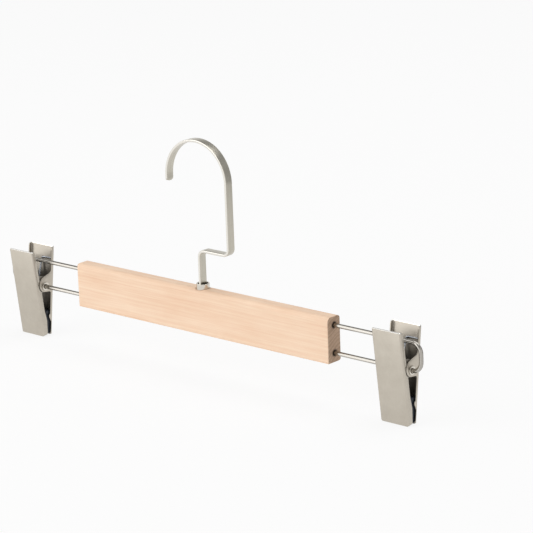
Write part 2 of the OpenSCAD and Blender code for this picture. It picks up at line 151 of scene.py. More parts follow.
# %% Sockets that take part in sums
class Term:
    """One output socket, as a number in a Python sum."""

    def __init__(self, graph, socket):
        self.graph, self.socket = graph, socket

    def join(self, operation, *values):
        """Math node of this operation on the given values."""
        return self.graph.node(
            "ShaderNodeMath", {"operation": operation}, dict(enumerate(values))
        )

    def __add__(self, value):
        return self.join("ADD", self, value)

    def __radd__(self, value):
        return self.join("ADD", value, self)

    def __sub__(self, value):
        return self.join("SUBTRACT", self, value)

    def __rsub__(self, value):
        return self.join("SUBTRACT", value, self)

    def __mul__(self, value):
        return self.join("MULTIPLY", self, value)

    def __rmul__(self, value):
        return self.join("MULTIPLY", value, self)

    def __truediv__(self, value):
        return self.join("DIVIDE", self, value)

    def __abs__(self):
        return self.join("ABSOLUTE", self)

    def fraction(self):
        return self.join("FRACT", self)

    def least(self, value):
        return self.join("MINIMUM", self, value)

    def most(self, value):
        return self.join("MAXIMUM", self, value)

    def root(self):
        return self.join("SQRT", self)

    def ease(self, low, high):
        """0 below low, 1 above high, smooth between; low may be the larger."""
        return self.graph.node(
            "ShaderNodeMapRange",
            {"interpolation_type": "SMOOTHSTEP"},
            {"Value": self, "From Min": low, "From Max": high},
        )

    def other(self, name):
        """Another output of the same node."""
        return Term(self.graph, self.socket.node.outputs[name])

    def parts(self):
        """The x, y and z of a vector."""
        x = self.graph.node("ShaderNodeSeparateXYZ", None, {0: self})
        return x, x.other("Y"), x.other("Z")


# %% One method for every other node
class Graph:
    """A node tree, and the one method that adds a node to it."""

    def __init__(self, tree):
        self.tree = tree
        tree.nodes.clear()

    def node(self, kind, settings=None, sockets=None, out=0):
        """Adds a node, sets its settings first, then feeds its sockets."""
        made = self.tree.nodes.new(kind)
        for name, value in (settings or {}).items():
            setattr(made, name, value)
        for name, value in (sockets or {}).items():
            if isinstance(value, Term):
                self.tree.links.new(value.socket, made.inputs[name])
            else:
                made.inputs[name].default_value = value
        return Term(self, made.outputs[out]) if len(made.outputs) else made

    def vector(self, x, y, z):
        return self.node("ShaderNodeCombineXYZ", None, {"X": x, "Y": y, "Z": z})

    def noise(self, vector, scale=1.0, detail=3.0, rough=0.55):
        """Noise about its middle: from -1 to 1, mostly within a half of that."""
        made = self.node(
            "ShaderNodeTexNoise", None,
            {"Vector": vector, "Scale": scale, "Detail": detail, "Roughness": rough},
        )
        return made * 2 - 1

    def mix(self, mask, colour_a, colour_b):
        """Colour a where the mask is 0, colour b where it is 1."""
        return self.node(
            "ShaderNodeMix",
            {"data_type": "RGBA", "blend_type": "MIX", "clamp_factor": True},
            {0: mask, 6: colour_a, 7: colour_b},
            out=2,
        )


# %% A material on the wrapped nodes
MM_PER_METRE = 1000.0


def colour(r, g, b):
    return (r, g, b, 1.0)


class Finish(Graph):
    """A material: its node tree, and a shader at its end."""

    def __init__(self, name):
        self.material = bpy.data.materials.new(name)
        self.material.use_nodes = True
        super().__init__(self.material.node_tree)

    def place(self):
        """The point on the object, in millimetres."""
        at = self.node("ShaderNodeTexCoord", out="Object")
        return self.node(
            "ShaderNodeVectorMath", {"operation": "SCALE"}, {0: at, "Scale": MM_PER_METRE}
        )

    def stored(self, name):
        """A number that the mesh carries at each point."""
        return self.node("ShaderNodeAttribute", {"attribute_name": name}, out="Fac")

    def done(self, bump, depth, **sockets):
        """Principled shader; bump is a height from 0 to 1, and depth its size in metres."""
        names = {"base": "Base Color", "rough": "Roughness", "metal": "Metallic", "ior": "IOR"}
        wired = {names[k]: v for k, v in sockets.items()}
        wired["Normal"] = self.node(
            "ShaderNodeBump", None, {"Strength": 1.0, "Distance": depth, "Height": bump}
        )
        shader = self.node("ShaderNodeBsdfPrincipled", None, wired)
        self.node("ShaderNodeOutputMaterial", None, {"Surface": shader})
        print("material", self.material.name, "has", len(self.tree.nodes), "nodes")
        return self.material


# %% [markdown]
# ## Floor
# The hanger stands over a pale floor. A plain white floor under soft lamps turns grey away
# from them, and more light would burn out the hanger. So the floor is mostly a white glow to
# the camera and in reflections, and the part of it that stays a plain white card still takes
# the hanger's soft shadow.

# %% Floor
FLOOR_HALF, FLOOR_DROP = 9.0, 0.3 * MM
CARD_WHITE, GLOW_SHARE = 0.9, 0.86


def make_panel(name, points, material):
    """A flat panel with four corners, which belongs to the stage."""
    mesh = bpy.data.meshes.new(name)
    mesh.from_pydata(points, [], [(0, 1, 2, 3)])
    mesh.materials.append(material)
    made = add_object(name, mesh)
    return made


def make_floor():
    """A wide plain square under the hanger, white to the camera."""
    finish = Finish("studio_floor")
    card = finish.node(
        "ShaderNodeBsdfDiffuse", None, {"Color": colour(CARD_WHITE, CARD_WHITE, CARD_WHITE)})
    glow = finish.node("ShaderNodeEmission", None, {"Color": colour(1, 1, 1), "Strength": 1.0})
    rays = finish.node("ShaderNodeLightPath", out="Is Camera Ray")
    seen = rays.most(rays.other("Is Glossy Ray")).most(rays.other("Is Transmission Ray"))
    both = finish.node("ShaderNodeMixShader", None, {0: seen * GLOW_SHARE, 1: card, 2: glow})
    finish.node("ShaderNodeOutputMaterial", None, {"Surface": both})
    z = cad_box[0].z - FLOOR_DROP
    square = [(-1, -1), (1, -1), (1, 1), (-1, 1)]
    points = [(x * FLOOR_HALF, y * FLOOR_HALF, z) for x, y in square]
    return make_panel("floor", points, finish.material)


print("floor at height in mm:", round(make_floor().data.vertices[0].co.z / MM, 1))

# %% [markdown]
# ## Lamps and walls
# Each lamp is set by the level at which it lights a white card that faces it, so that the
# levels can be added up without trying. A large key lamp stands on the left in front, one
# above lights the upper faces, and a weak one on the right gives the end of the bar a little
# form. The world is the studio's walls, nearly white at eye level and darker overhead, which
# gives the round metal its darker upper sides.

# %% Lamps
middle = (cad_box[0] + cad_box[1]) / 2


def add_lamp(name, way, distance, size, level):
    """Square lamp that lights a white card facing it to the given level."""
    light = bpy.data.lights.new(name, "AREA")
    light.shape, light.size = "SQUARE", size
    light.energy = level * math.pi ** 2 * distance ** 2
    made = add_object(name, light)
    toward = Vector(way).normalized()
    made.location = middle + toward * distance
    made.rotation_euler = toward.to_track_quat("Z", "Y").to_euler()
    print("lamp", name, "power in W:", round(light.energy, 1))


add_lamp("key_lamp", (-0.6, -1.0, 0.62), distance=2.6, size=2.8, level=0.545)
add_lamp("top_lamp", (0.15, 0.25, 1.0), distance=2.4, size=1.8, level=0.34)
add_lamp("side_lamp", (1.0, 0.1, 0.55), distance=2.6, size=1.2, level=0.04)

# %% Walls of the studio
WALL_LEVEL, CEILING_LEVEL = 0.97, 0.34
WALL_TOP, CEILING_EDGE = 0.2, 0.58


def make_walls():
    """World whose light falls from the wall's level to the ceiling's between two heights."""
    world = bpy.data.worlds.new("studio")
    world.use_nodes = True
    sky = Graph(world.node_tree)
    height = sky.node("ShaderNodeTexCoord", out="Generated").parts()[2]
    level = height.ease(CEILING_EDGE, WALL_TOP) * (WALL_LEVEL - CEILING_LEVEL) + CEILING_LEVEL
    lit = sky.node("ShaderNodeBackground", None, {"Color": colour(1, 1, 1), "Strength": level})
    sky.node("ShaderNodeOutputWorld", None, {"Surface": lit})
    return world


bpy.context.scene.world = make_walls()
print("walls and ceiling at levels", WALL_LEVEL, CEILING_LEVEL)

# %% [markdown]
# ## A grey card for the metal
# Bright metal shows its surroundings and not its own colour. In an all-white studio a bent
# strip looks like flat grey paint. A photographer stands a darker card beside it, out of the
# picture, and its reflection draws the form. This card does only that: it shows in
# reflections, and neither throws a shadow nor appears in any view.

# %% Grey card
CARD_CENTRE = Vector((0.42, 0.40, 0.06))
CARD_ACROSS, CARD_UP = Vector((0.22, -0.20, 0.0)), Vector((0, 0, 0.19))
CARD_GREY = 0.42


def make_card():
    """Card from its centre and two half sides, in metres."""
    finish = Finish("right_card")
    glow = finish.node(
        "ShaderNodeEmission", None, {"Color": colour(CARD_GREY, CARD_GREY, CARD_GREY)})
    finish.node("ShaderNodeOutputMaterial", None, {"Surface": glow})
    made = make_panel("right_card", [
        CARD_CENTRE - CARD_ACROSS - CARD_UP, CARD_CENTRE + CARD_ACROSS - CARD_UP,
        CARD_CENTRE + CARD_ACROSS + CARD_UP, CARD_CENTRE - CARD_ACROSS + CARD_UP,
    ], finish.material)
    made.visible_camera = made.visible_diffuse = made.visible_shadow = False
    made.visible_transmission = made.visible_volume_scatter = False
    return made


print("card seen in reflections only:", make_card().name)

# %% [markdown]
# ## Sizes from the frame
# A finish that darkens a rim, and a piece that is made again, both have to lie exactly where
# the solid lies. So sizes are read from the solids' boxes, and only what a box can't tell,
# such as the thickness of a strip, is written as a number. A box is held in single
# precision, so it is rounded to a hundredth of a millimetre, which gives the round sizes of
# the design back. Each size is read in the cell that first needs it.

# %% Sizes of the bar and its wire, in millimetres
WIRE_D = 2.8


def corners(node):
    """Lowest and highest corner of a node at rest, in millimetres."""
    return [[round(v / MM, 2) for v in corner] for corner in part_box(node)]


bar_high = corners("wooden_bar")[1]
loop_low, loop_high = corners("right_wire_loop")
BAR_HALF, BAR_TOP = bar_high[0], bar_high[2]
WIRE_LOW, WIRE_UP = loop_low[2] + WIRE_D / 2, loop_high[2] - WIRE_D / 2
print("bar:", 2 * BAR_HALF, "long, wires at heights", round(WIRE_LOW, 2), round(WIRE_UP, 2))

# %% [markdown]
# ## Pale wood
# The bar is planed from a pale, straight-grained wood and left without varnish. Its colour is
# a peach cream with fine reddish lines that run along it. Painted stripes would look drawn on
# and would end at the corners, so the pattern is worked out in the solid: growth rings round
# a line below and behind the bar, bent a little along its length. Long faces cut them into
# lines, and the two ends show them as arcs, as in a real plank. Fine fibres, short pores and
# a soft cloudiness lie on top, each a noise that is stretched along the bar.

# %% Grain of the wood
CREAM, TAN = colour(0.925, 0.705, 0.525), colour(0.82, 0.53, 0.35)
PORE_BROWN = colour(0.60, 0.35, 0.21)
PITH_Y, PITH_Z = 34.0, -148.0
RING_WIDTH, RING_SWAY = 2.5, 3.2


def wood_grain(finish, x, y, z):
    """Colour, height, dark ring edges and fibres of the grain at a point in millimetres."""
    def along_bar(along, across, detail, rough=0.55):
        """Noise with these scales, per millimetre, along and across the bar."""
        stretched = finish.vector(x * along, y * across, z * across)
        return finish.noise(stretched, detail=detail, rough=rough)

    # Late wood darkens slowly across each ring and ends sharply at its edge
    sway = finish.noise(finish.vector(x * 0.012, y * 0.05, z * 0.03), detail=2.0)
    off_y, off_z = y - PITH_Y, z - PITH_Z
    ring = (off_y * off_y + off_z * off_z).root() + sway * RING_SWAY
    uneven = finish.noise(finish.vector(0.0, 0.0, ring * 0.33), detail=2.0)
    band = (ring / RING_WIDTH + uneven * 1.4).fraction()
    late = band.ease(0.25, 0.90) * (1.0 - band.ease(0.91, 1.0))

    # Everything finer runs along the bar, from broad streaks down to hair lines
    fibre = along_bar(0.028, 3.2, detail=5.0, rough=0.75)
    streak = along_bar(0.010, 0.75, detail=4.0, rough=0.65)
    hair = along_bar(0.06, 10.0, detail=2.0)
    pore = along_bar(0.22, 6.5, detail=1.0).ease(0.34, 0.58)
    cloud = along_bar(0.03, 0.10, detail=2.0)
    tone = late * 0.15 + streak * 0.80 + fibre * 0.48 + hair * 0.30 + cloud * 0.45 + 0.30
    base = finish.mix(tone.most(0.0).least(1.0), CREAM, TAN)
    base = finish.mix(pore * 0.36, base, PORE_BROWN)
    height = 0.5 + fibre * 0.2 + hair * 0.2 - pore * 0.5 - late * 0.15
    return base, height, late, fibre


# %% [markdown]
# ### Ends and rims
# Sawn end grain drinks in dust and oil and is darker, and the darkening of both ends is partly
# painted shade, with fine specks where the pores are cut across. The wire holes and the seat of
# the ferrule are darker still round their rims. Each is a mask from the distance to a face or an
# axis, which keeps it in place whatever the mesh is like; painting it would need an unwrapped
# surface.

# %% Wood with its ends and rims
# The colour of the ends is the end grain's own darker brown, with painted shade in it.
END_BROWN_AND_SHADE, SPECK_BROWN = colour(0.42, 0.288, 0.198), colour(0.30, 0.185, 0.12)
HOLE_BROWN, SEAT_BROWN = colour(0.07, 0.045, 0.03), colour(0.30, 0.17, 0.10)
HOLE_R, SEAT_R = WIRE_D / 2, corners("ferrule")[1][0]
HOLE_DARK, HOLE_FADE, SEAT_DARK, SEAT_FADE = 0.35, 1.7, 0.1, 1.2
END_FROM, END_FULL = BAR_HALF - 0.5, BAR_HALF - 0.05
HOLE_DEPTH, HOLE_MOUTH, SEAT_DEPTH = 5.0, 0.6, 1.5
print("rims at", HOLE_R, "from each wire and at", SEAT_R, "from the stem")


def darken_rims(finish, base, x, y, z):
    """The colour, darker round the wire holes and round the ferrule."""
    low, up = z - WIRE_LOW, z - WIRE_UP
    from_wire = (y * y + low * low).root().least((y * y + up * up).root())
    rim = from_wire.ease(HOLE_R + HOLE_FADE, HOLE_R + HOLE_DARK)
    rim = rim * abs(x).ease(BAR_HALF - HOLE_DEPTH, BAR_HALF - HOLE_MOUTH)
    base = finish.mix(rim * 0.9, base, HOLE_BROWN)
    from_stem = (x * x + y * y).root()
    seat = from_stem.ease(SEAT_R + SEAT_FADE, SEAT_R + SEAT_DARK)
    seat = seat * z.ease(BAR_TOP - SEAT_DEPTH, BAR_TOP)
    return finish.mix(seat * 0.6, base, SEAT_BROWN)


def make_wood():
    """Planed pale wood, with grain in the solid, darker ends and darker rims."""
    finish = Finish("pale_wood")
    at = finish.place()
    x, y, z = at.parts()
    base, height, late, fibre = wood_grain(finish, x, y, z)
    end = abs(x).ease(END_FROM, END_FULL)
    speck = finish.noise(at, scale=4.2, detail=2.0).ease(0.05, 0.45)
    # The ends' darker brown is partly end grain and partly painted shade.
    base = finish.mix(end * 0.80, base, END_BROWN_AND_SHADE)
    base = finish.mix(end * (speck * 0.55 + late * 0.45).least(1.0), base, SPECK_BROWN)
    return finish.done(
        bump=height - end * speck * 0.4, depth=0.06 * MM,
        base=darken_rims(finish, base, x, y, z), rough=0.52 + fibre * 0.08 + end * 0.2, ior=1.45)


wood = make_wood()

# %% [markdown]
# ## Satin strip and bright wire
# The hook is nickel-plated strip that was brushed along its length before it was bent, and wire
# is drawn through a die, which leaves finer marks the same way. So the marks follow the bends.
# The swept meshes carry two numbers at each point, the length along and the distance round the
# section, and the marks are noise that is drawn out along the first. The strip also has rolled
# edges, smoother than its brushed faces, and lighter in colour as a painted highlight.

# %% Brushed and drawn metal that follows a path
# The rolled edge's lighter colour is a painted highlight.
EDGE_HIGHLIGHT, EDGE_FADE = colour(0.82, 0.79, 0.73), 0.25
strip_low, strip_high = corners("hook")
STRIP_W = strip_high[1] - strip_low[1]


def make_swept_metal(name, base, shade, rough, along_scale, round_scale, depth, edge_y=None):
    """Metal with marks along a swept mesh; beyond edge_y the strip shows its rolled edge."""
    finish = Finish(name)
    at = finish.place()
    along = finish.stored("along") * MM_PER_METRE
    around = finish.stored("around") * MM_PER_METRE
    marks = finish.noise(
        finish.vector(along * along_scale, around * round_scale, 0.0), detail=4.0, rough=0.7)
    cloud = finish.noise(at, scale=0.12, detail=2.0)
    tone = 0.5 + marks * 0.55 + cloud * 0.25
    rough = rough + marks * 0.08 + cloud * 0.05
    if edge_y is None:
        skin = finish.mix(tone.most(0.0).least(1.0), shade, base)
    else:
        broad = finish.noise(finish.vector(along * 0.008, around * 1.3, 5.0), detail=2.0)
        skin = finish.mix((tone + broad * 0.55).most(0.0).least(1.0), shade, base)
        # Painted highlight: the rolled edge gets a lighter colour; its lower roughness is real.
        edge = abs(at.parts()[1]).ease(edge_y, edge_y + EDGE_FADE)
        skin = finish.mix(edge, skin, EDGE_HIGHLIGHT)
        rough = rough - edge * 0.12
    return finish.done(bump=0.5 + marks * 0.5, depth=depth, base=skin, rough=rough, metal=1.0)


hook_metal = make_swept_metal(
    "satin_nickel_strip", colour(0.645, 0.612, 0.535), colour(0.455, 0.43, 0.36), rough=0.30,
    along_scale=0.03, round_scale=5.0, depth=0.012 * MM, edge_y=STRIP_W / 2 - EDGE_FADE)
wire_metal = make_swept_metal(
    "bright_nickel_wire", colour(0.49, 0.465, 0.425), colour(0.38, 0.36, 0.325), rough=0.15,
    along_scale=0.05, round_scale=3.5, depth=0.0012 * MM)
spring_metal = make_swept_metal(
    "spring_wire", colour(0.76, 0.79, 0.84), colour(0.34, 0.37, 0.42), rough=0.13,
    along_scale=0.08, round_scale=4.0, depth=0.0012 * MM)

# %% [markdown]
# ## Pearl nickel on stamped sheet
# The clips are pressed from thin sheet and plated with a fine, even satin. Seen close it is a
# little cloudy. Inside, the plates are darkened as painted shade, darker still near the coil, and
# their cut upper rim is lightened as a painted highlight. The masks come from the shape of a
# clip: its two plates lean together like a narrow V, so their inner faces are planes that a sum
# gives.

# %% Sizes of a clip, in millimetres
SHEET, CLIP_UP, TIP_HALF = 0.8, 26.2, 3.7
plate_low, plate_high = corners("right_front_plate")
CLIP_X, CLIP_HALF = (plate_low[0] + plate_high[0]) / 2, (plate_high[0] - plate_low[0]) / 2
CLIP_DOWN, TOP_HALF = WIRE_LOW - plate_low[2], -plate_low[1]
SLOPE = (TOP_HALF - TIP_HALF) / (CLIP_UP + CLIP_DOWN)
LEAN = math.atan(SLOPE)


def inner_y(z):
    """Distance of a plate's inner face from the middle plane, z above the pivot."""
    return TIP_HALF + (z + CLIP_DOWN) * SLOPE - SHEET / math.cos(LEAN)


print("plates lean by", round(math.degrees(LEAN), 2), "degrees")

# %% Stamped sheet
PEARL_DARK, PEARL_LIGHT = colour(0.49, 0.445, 0.378), colour(0.60, 0.555, 0.48)
# Painted shade for the inside and near the coil, and a painted highlight for the upper rim:
PEARL_INSIDE_SHADE, PAINTED_COIL_SHADE = colour(0.36, 0.33, 0.285), colour(0.10, 0.095, 0.085)
RIM_HIGHLIGHT = colour(0.95, 0.93, 0.89)

# Where each mask starts and where it is full, in millimetres
INSIDE_FROM, INSIDE_FULL = 0.35, 0.20
FLANGE_FROM, FLANGE_FULL = 0.35, 0.65
COIL_SHADE_FROM, COIL_SHADE_FULL = WIRE_LOW + 17.0, WIRE_LOW + 4.0
RIM_FROM, RIM_FULL = WIRE_LOW + CLIP_UP - 0.60, WIRE_LOW + CLIP_UP - 0.35


def make_sheet_metal():
    """Pearl nickel on stamped sheet: fine even satin, cloudy in the large."""
    finish = Finish("pearl_nickel_sheet")
    at = finish.place()
    x, y, z = at.parts()
    fine = finish.noise(at, scale=7.0, detail=3.0, rough=0.7)
    cloud = finish.noise(at, scale=0.11, detail=3.0)
    blotch = finish.noise(at, scale=0.5, detail=2.0)
    tone = (0.5 + fine * 0.35 + cloud * 0.5 + blotch * 0.2).most(0.0).least(1.0)
    base = finish.mix(tone, PEARL_DARK, PEARL_LIGHT)
    between = abs(abs(x) - CLIP_X).ease(CLIP_HALF - FLANGE_FROM, CLIP_HALF - FLANGE_FULL)
    inside = (abs(y) - inner_y(z - WIRE_LOW)).ease(INSIDE_FROM, INSIDE_FULL) * between
    # Painted shade: the inner faces between the flanges are darkened.
    base = finish.mix(inside * 0.75, base, PEARL_INSIDE_SHADE)
    # Painted shade: the inner faces grow darker still towards the coil.
    coil_shade = inside * z.ease(COIL_SHADE_FROM, COIL_SHADE_FULL) * (0.7 + blotch * 0.5)
    base = finish.mix(coil_shade * 0.8, base, PAINTED_COIL_SHADE)
    # Painted highlight: the top edge of each plate is lightened; its lower roughness is real.
    rim = z.ease(RIM_FROM, RIM_FULL)
    base = finish.mix(rim * 0.9, base, RIM_HIGHLIGHT)
    return finish.done(
        bump=0.5 + fine * 0.4 + blotch * 0.1, depth=0.012 * MM, base=base,
        rough=0.40 + fine * 0.06 + cloud * 0.06 - rim * 0.15, metal=1.0)


sheet_metal = make_sheet_metal()

# %% [markdown]
# ## Turned metal and rubber
# The ferrule, the stud and the sleeves come off a lathe, which leaves fine rings round the
# axis. The pads are moulded in blue-black rubber, matt and a little dusty, so their gloss
# changes more than their colour does.

# %% Turned metal and rubber
RUBBER_CLEAN, RUBBER_DUSTY = colour(0.020, 0.026, 0.036), colour(0.055, 0.066, 0.085)
DARK_RINGS = 0.75


def make_turned_metal(name, base, rough):
    """Rings left by a turning tool, round the hanger's upright axis."""
    finish = Finish(name)
    at = finish.place()
    x, y, z = at.parts()
    off = (x * x + y * y).root()
    rings = finish.noise(finish.vector(0.0, off * 3.0, z * 6.0), detail=3.0, rough=0.7)
    cloud = finish.noise(at, scale=0.4, detail=2.0)
    tone = (0.5 + rings * 0.5 + cloud * 0.3).most(0.0).least(1.0)
    shade = colour(*(v * DARK_RINGS for v in base))
    return finish.done(
        bump=0.5 + rings * 0.4, depth=0.01 * MM, base=finish.mix(tone, shade, colour(*base)),
        rough=rough + rings * 0.06, metal=1.0)


def make_rubber():
    """Matt blue-black rubber, a little dusty."""
    finish = Finish("black_rubber")
    at = finish.place()
    fine = finish.noise(at, scale=5.0, detail=3.0, rough=0.7)
    dust = finish.noise(at, scale=0.6, detail=3.0).ease(-0.1, 0.7)
    return finish.done(
        bump=0.5 + fine * 0.4, depth=0.02 * MM,
        base=finish.mix(dust * 0.5, RUBBER_CLEAN, RUBBER_DUSTY),
        rough=0.36 + fine * 0.1 + dust * 0.15)


ferrule_metal = make_turned_metal("turned_nickel", (0.78, 0.735, 0.655), 0.18)
stud_metal = make_turned_metal("turned_steel", (0.60, 0.58, 0.55), 0.28)
rubber = make_rubber()

# %% [markdown]
# ## Strip and wire that follow a path
# The hook, the two wire loops and the springs are all bent from long stock. On each, one
# section is carried along one line. So one kind of Geometry Nodes tree makes them all: it
# takes the line as edges, turns it into a curve, carries a rounded rectangle along it, and
# stores the length along and the distance round for the materials. A circle is the rounded
# rectangle whose corners meet.

# %% What the trees share
def add_inputs(tree, numbers):
    """Geometry, named numbers and a material in, geometry out."""
    tree.interface.new_socket("Geometry", in_out="INPUT", socket_type="NodeSocketGeometry")
    for name, value in numbers.items():
        socket = tree.interface.new_socket(name, in_out="INPUT", socket_type="NodeSocketFloat")
        socket.default_value = value
    tree.interface.new_socket("Material", in_out="INPUT", socket_type="NodeSocketMaterial")
    tree.interface.new_socket("Geometry", in_out="OUTPUT", socket_type="NodeSocketGeometry")


def end_tree(graph, body, material):
    """Smooth shading, real geometry and a material, as every tree here ends."""
    body = graph.node("GeometryNodeSetShadeSmooth", None, {"Geometry": body})
    body = graph.node("GeometryNodeRealizeInstances", None, {"Geometry": body})
    body = graph.node("GeometryNodeSetMaterial", None, {"Geometry": body, "Material": material})
    graph.node("NodeGroupOutput", None, {"Geometry": body})
    return graph.tree


def store(graph, geometry, name, value):
    """Keeps a number on every point, for a material or for a later node."""
    return graph.node("GeometryNodeStoreNamedAttribute",
                      {"data_type": "FLOAT", "domain": "POINT"},
                      {"Geometry": geometry, "Name": name, "Value": value})


def read(graph, name, kind="FLOAT"):
    """What is kept on the points under this name."""
    return graph.node("GeometryNodeInputNamedAttribute", {"data_type": kind}, {"Name": name})


# %% The tree that carries a section along a line
CORNER_STEPS = 8


def make_sweep_tree(name, turning):
    """Turning is FREE, where each point of the line gives the section's side, or
    MINIMUM_TWIST, where the section is round and its side does not matter."""
    tree = bpy.data.node_groups.new(name, "GeometryNodeTree")
    add_inputs(tree, {"Width": 2 * MM, "Thickness": 2 * MM, "Edge radius": 1 * MM,
                      "Tip radius": 0.0})
    graph = Graph(tree)
    given = graph.node("NodeGroupInput", out="Geometry")
    line = graph.node("GeometryNodeMeshToCurve", None, {"Mesh": given})
    if turning == "FREE":
        line = graph.node("GeometryNodeSetCurveNormal", {"mode": turning},
                          {"Curve": line, "Normal": read(graph, "side", "FLOAT_VECTOR")})
    so_far = graph.node("GeometryNodeSplineParameter", out="Length")
    whole = graph.node("GeometryNodeSplineLength", out="Length")
    line = store(graph, line, "along", so_far)
    line = store(graph, line, "to_end", whole - so_far)
    section = graph.node("GeometryNodeCurvePrimitiveQuadrilateral", {"mode": "RECTANGLE"},
                         {"Width": given.other("Width"), "Height": given.other("Thickness")})
    section = graph.node("GeometryNodeFilletCurve", {"mode": "POLY"},
                         {"Curve": section, "Radius": given.other("Edge radius"),
                          "Count": CORNER_STEPS, "Limit Radius": True})
    round_it = graph.node("GeometryNodeSplineParameter", out="Length")
    section = store(graph, section, "around", round_it)
    body = graph.node("GeometryNodeCurveToMesh", None,
                      {"Curve": line, "Profile Curve": section, "Fill Caps": True})
    body = round_tip(graph, body, given.other("Width"), given.other("Tip radius"))
    return end_tree(graph, body, given.other("Material"))


def round_tip(graph, body, width, tip):
    """Narrows the section near the end of the line, which rounds the tip's corners."""
    short = (tip - read(graph, "to_end")).most(0.0)
    kept = (tip * tip - short * short).most(0.0).root() - tip
    share = (kept * 2.0) / width + 1.0
    x, y, z = graph.node("GeometryNodeInputPosition").parts()
    return graph.node("GeometryNodeSetPosition", None,
                      {"Geometry": body, "Position": graph.vector(x, y * share, z)})


strip_tree = make_sweep_tree("strip_along_line", "FREE")
wire_tree = make_sweep_tree("wire_along_line", "MINIMUM_TWIST")
print("nodes in each tree:", len(strip_tree.nodes), len(wire_tree.nodes))

# %% [markdown]
# ## Lines with round bends, and pieces from them
# A bender puts a round of known radius into straight stock. A curve drawn by its handles
# only comes near such a bend, so the line is worked out: straight runs, and an arc at each
# inner corner that touches both. The line becomes a mesh of edges, the tree runs on it as a
# modifier, and the result is taken out as a plain mesh, because the export keeps neither a
# modifier nor an instance.

# %% Lines with round bends
def flat(points):
    """Points in the middle plane of the hanger, from pairs of x and z."""
    return [Vector((x, 0, z)) for x, z in points]


def bent_line(points, radius, steps):
    """Points of a line through the given ones, with each inner corner rounded."""
    line = [points[0]]
    for before, here, after in zip(points, points[1:], points[2:]):
        back, on = (before - here).normalized(), (after - here).normalized()
        half = back.angle(on) / 2
        centre = here + (back + on).normalized() * (radius / math.sin(half))
        reach = radius / math.tan(half)
        first, last = here + back * reach - centre, here + on * reach - centre
        turn = first.angle(last)
        for k in range(steps + 1):
            a = turn * k / steps
            line.append(
                centre + (first * math.sin(turn - a) + last * math.sin(a)) / math.sin(turn))
    return line + [points[-1]]


# %% From a line to a finished piece
SECTION_SIDE = (0, 1, 0)  # the strip's width lies along Y


def triangles(mesh):
    """How many triangles a mesh comes to."""
    return sum(len(face.vertices) - 2 for face in mesh.polygons)


def make_piece(name, points, tree, values, material):
    """Runs a tree on a line of points and returns the result as a plain mesh object."""
    mesh = bpy.data.meshes.new(name)
    mesh.from_pydata([p * MM for p in points], [(i, i + 1) for i in range(len(points) - 1)], [])
    for item in mesh.attributes.new("side", "FLOAT_VECTOR", "POINT").data:
        item.vector = SECTION_SIDE
    line = add_object(name + "_line", mesh)
    modifier = line.modifiers.new("tree", "NODES")
    modifier.node_group = tree
    given = dict(values, Material=material)
    for item in tree.interface.items_tree:
        if item.item_type == "SOCKET" and item.in_out == "INPUT" and item.name in given:
            modifier[item.identifier] = given[item.name]
    ready = line.evaluated_get(bpy.context.evaluated_depsgraph_get())
    made = add_object(name, bpy.data.meshes.new_from_object(ready))
    made.data.name = name
    line.modifiers.clear()
    bpy.data.objects.remove(line)
    print(name, "triangles:", triangles(made.data))
    return made


def stand_for(piece, node):
    """The piece stands for a node: it rides where that node rides, and the node is hidden."""
    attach(piece, frame["nodes"][node]["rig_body"])
    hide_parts(node)


# %% [markdown]
# ## Hook
# The strip goes up from the swivel, steps aside so that the hook's arc stands over the middle
# of the bar, and closes in a half circle. Its line is drawn once in the plane of the hook.
# Over its last two millimetres the strip is narrowed in steps, which rounds the two corners
# of the tip. Cutting them off with a second shape would also do, but it would break the
# strip's even faces, on which the brush marks run.

# %% Hook
STRIP_T, STRIP_EDGE, BEND_INSIDE = 1.8, 0.5, 3.6
STEP_UP, TIP_L, TIP_R = 25.5, 3.9, 2.0
ARC_R, TAIL_Z = strip_high[0] - STRIP_T / 2, strip_low[2]
BEND_STEPS, ARC_STEPS, TIP_STEPS = 12, 72, 8


def make_hook():
    """The strip on its line, from the tail over the step and the arc to the tip."""
    step_z = BAR_TOP + STEP_UP
    stem = bent_line(flat([(0, TAIL_Z), (0, step_z), (ARC_R, step_z), (ARC_R, 0)]),
                     BEND_INSIDE + STRIP_T / 2, BEND_STEPS)
    turns = [math.pi * k / ARC_STEPS for k in range(1, ARC_STEPS + 1)]
    arc = flat([(ARC_R * math.cos(a), ARC_R * math.sin(a)) for a in turns])
    falls = [math.cos(math.pi / 2 * k / TIP_STEPS) for k in range(TIP_STEPS + 1)]
    tip = flat([(-ARC_R, TIP_R * fall - TIP_L) for fall in falls])
    return make_piece("hook_strip", stem + arc + tip, strip_tree,
                      {"Width": STRIP_W * MM, "Thickness": STRIP_T * MM,
                       "Edge radius": STRIP_EDGE * MM, "Tip radius": TIP_R * MM}, hook_metal)


stand_for(make_hook(), "hook")

# %% [markdown]
# ## Wire loops
# One length of wire makes each loop: out of the bar, round two bends and back in. Both ends
# sit in the bar, so the wire needs no visible end. The two loops differ only in which way
# they point, so they share one line.

# %% Wire loops
SIDES = (("left", -1), ("right", 1))
LOOP_R, LOOP_STEPS = 6.6, 20
LOOP_START_X, LOOP_END_X = loop_low[0], loop_high[0] - WIRE_D / 2


def round_wire(diameter):
    """Inputs of the wire tree for a round section."""
    return {"Width": diameter * MM, "Thickness": diameter * MM,
            "Edge radius": diameter / 2 * MM}


for side, way in SIDES:
    start, end = way * LOOP_START_X, way * LOOP_END_X
    line = bent_line(flat([(start, WIRE_LOW), (end, WIRE_LOW), (end, WIRE_UP), (start, WIRE_UP)]),
                     LOOP_R, LOOP_STEPS)
    loop = make_piece(side + "_loop_wire", line, wire_tree, round_wire(WIRE_D), wire_metal)
    stand_for(loop, side + "_wire_loop")
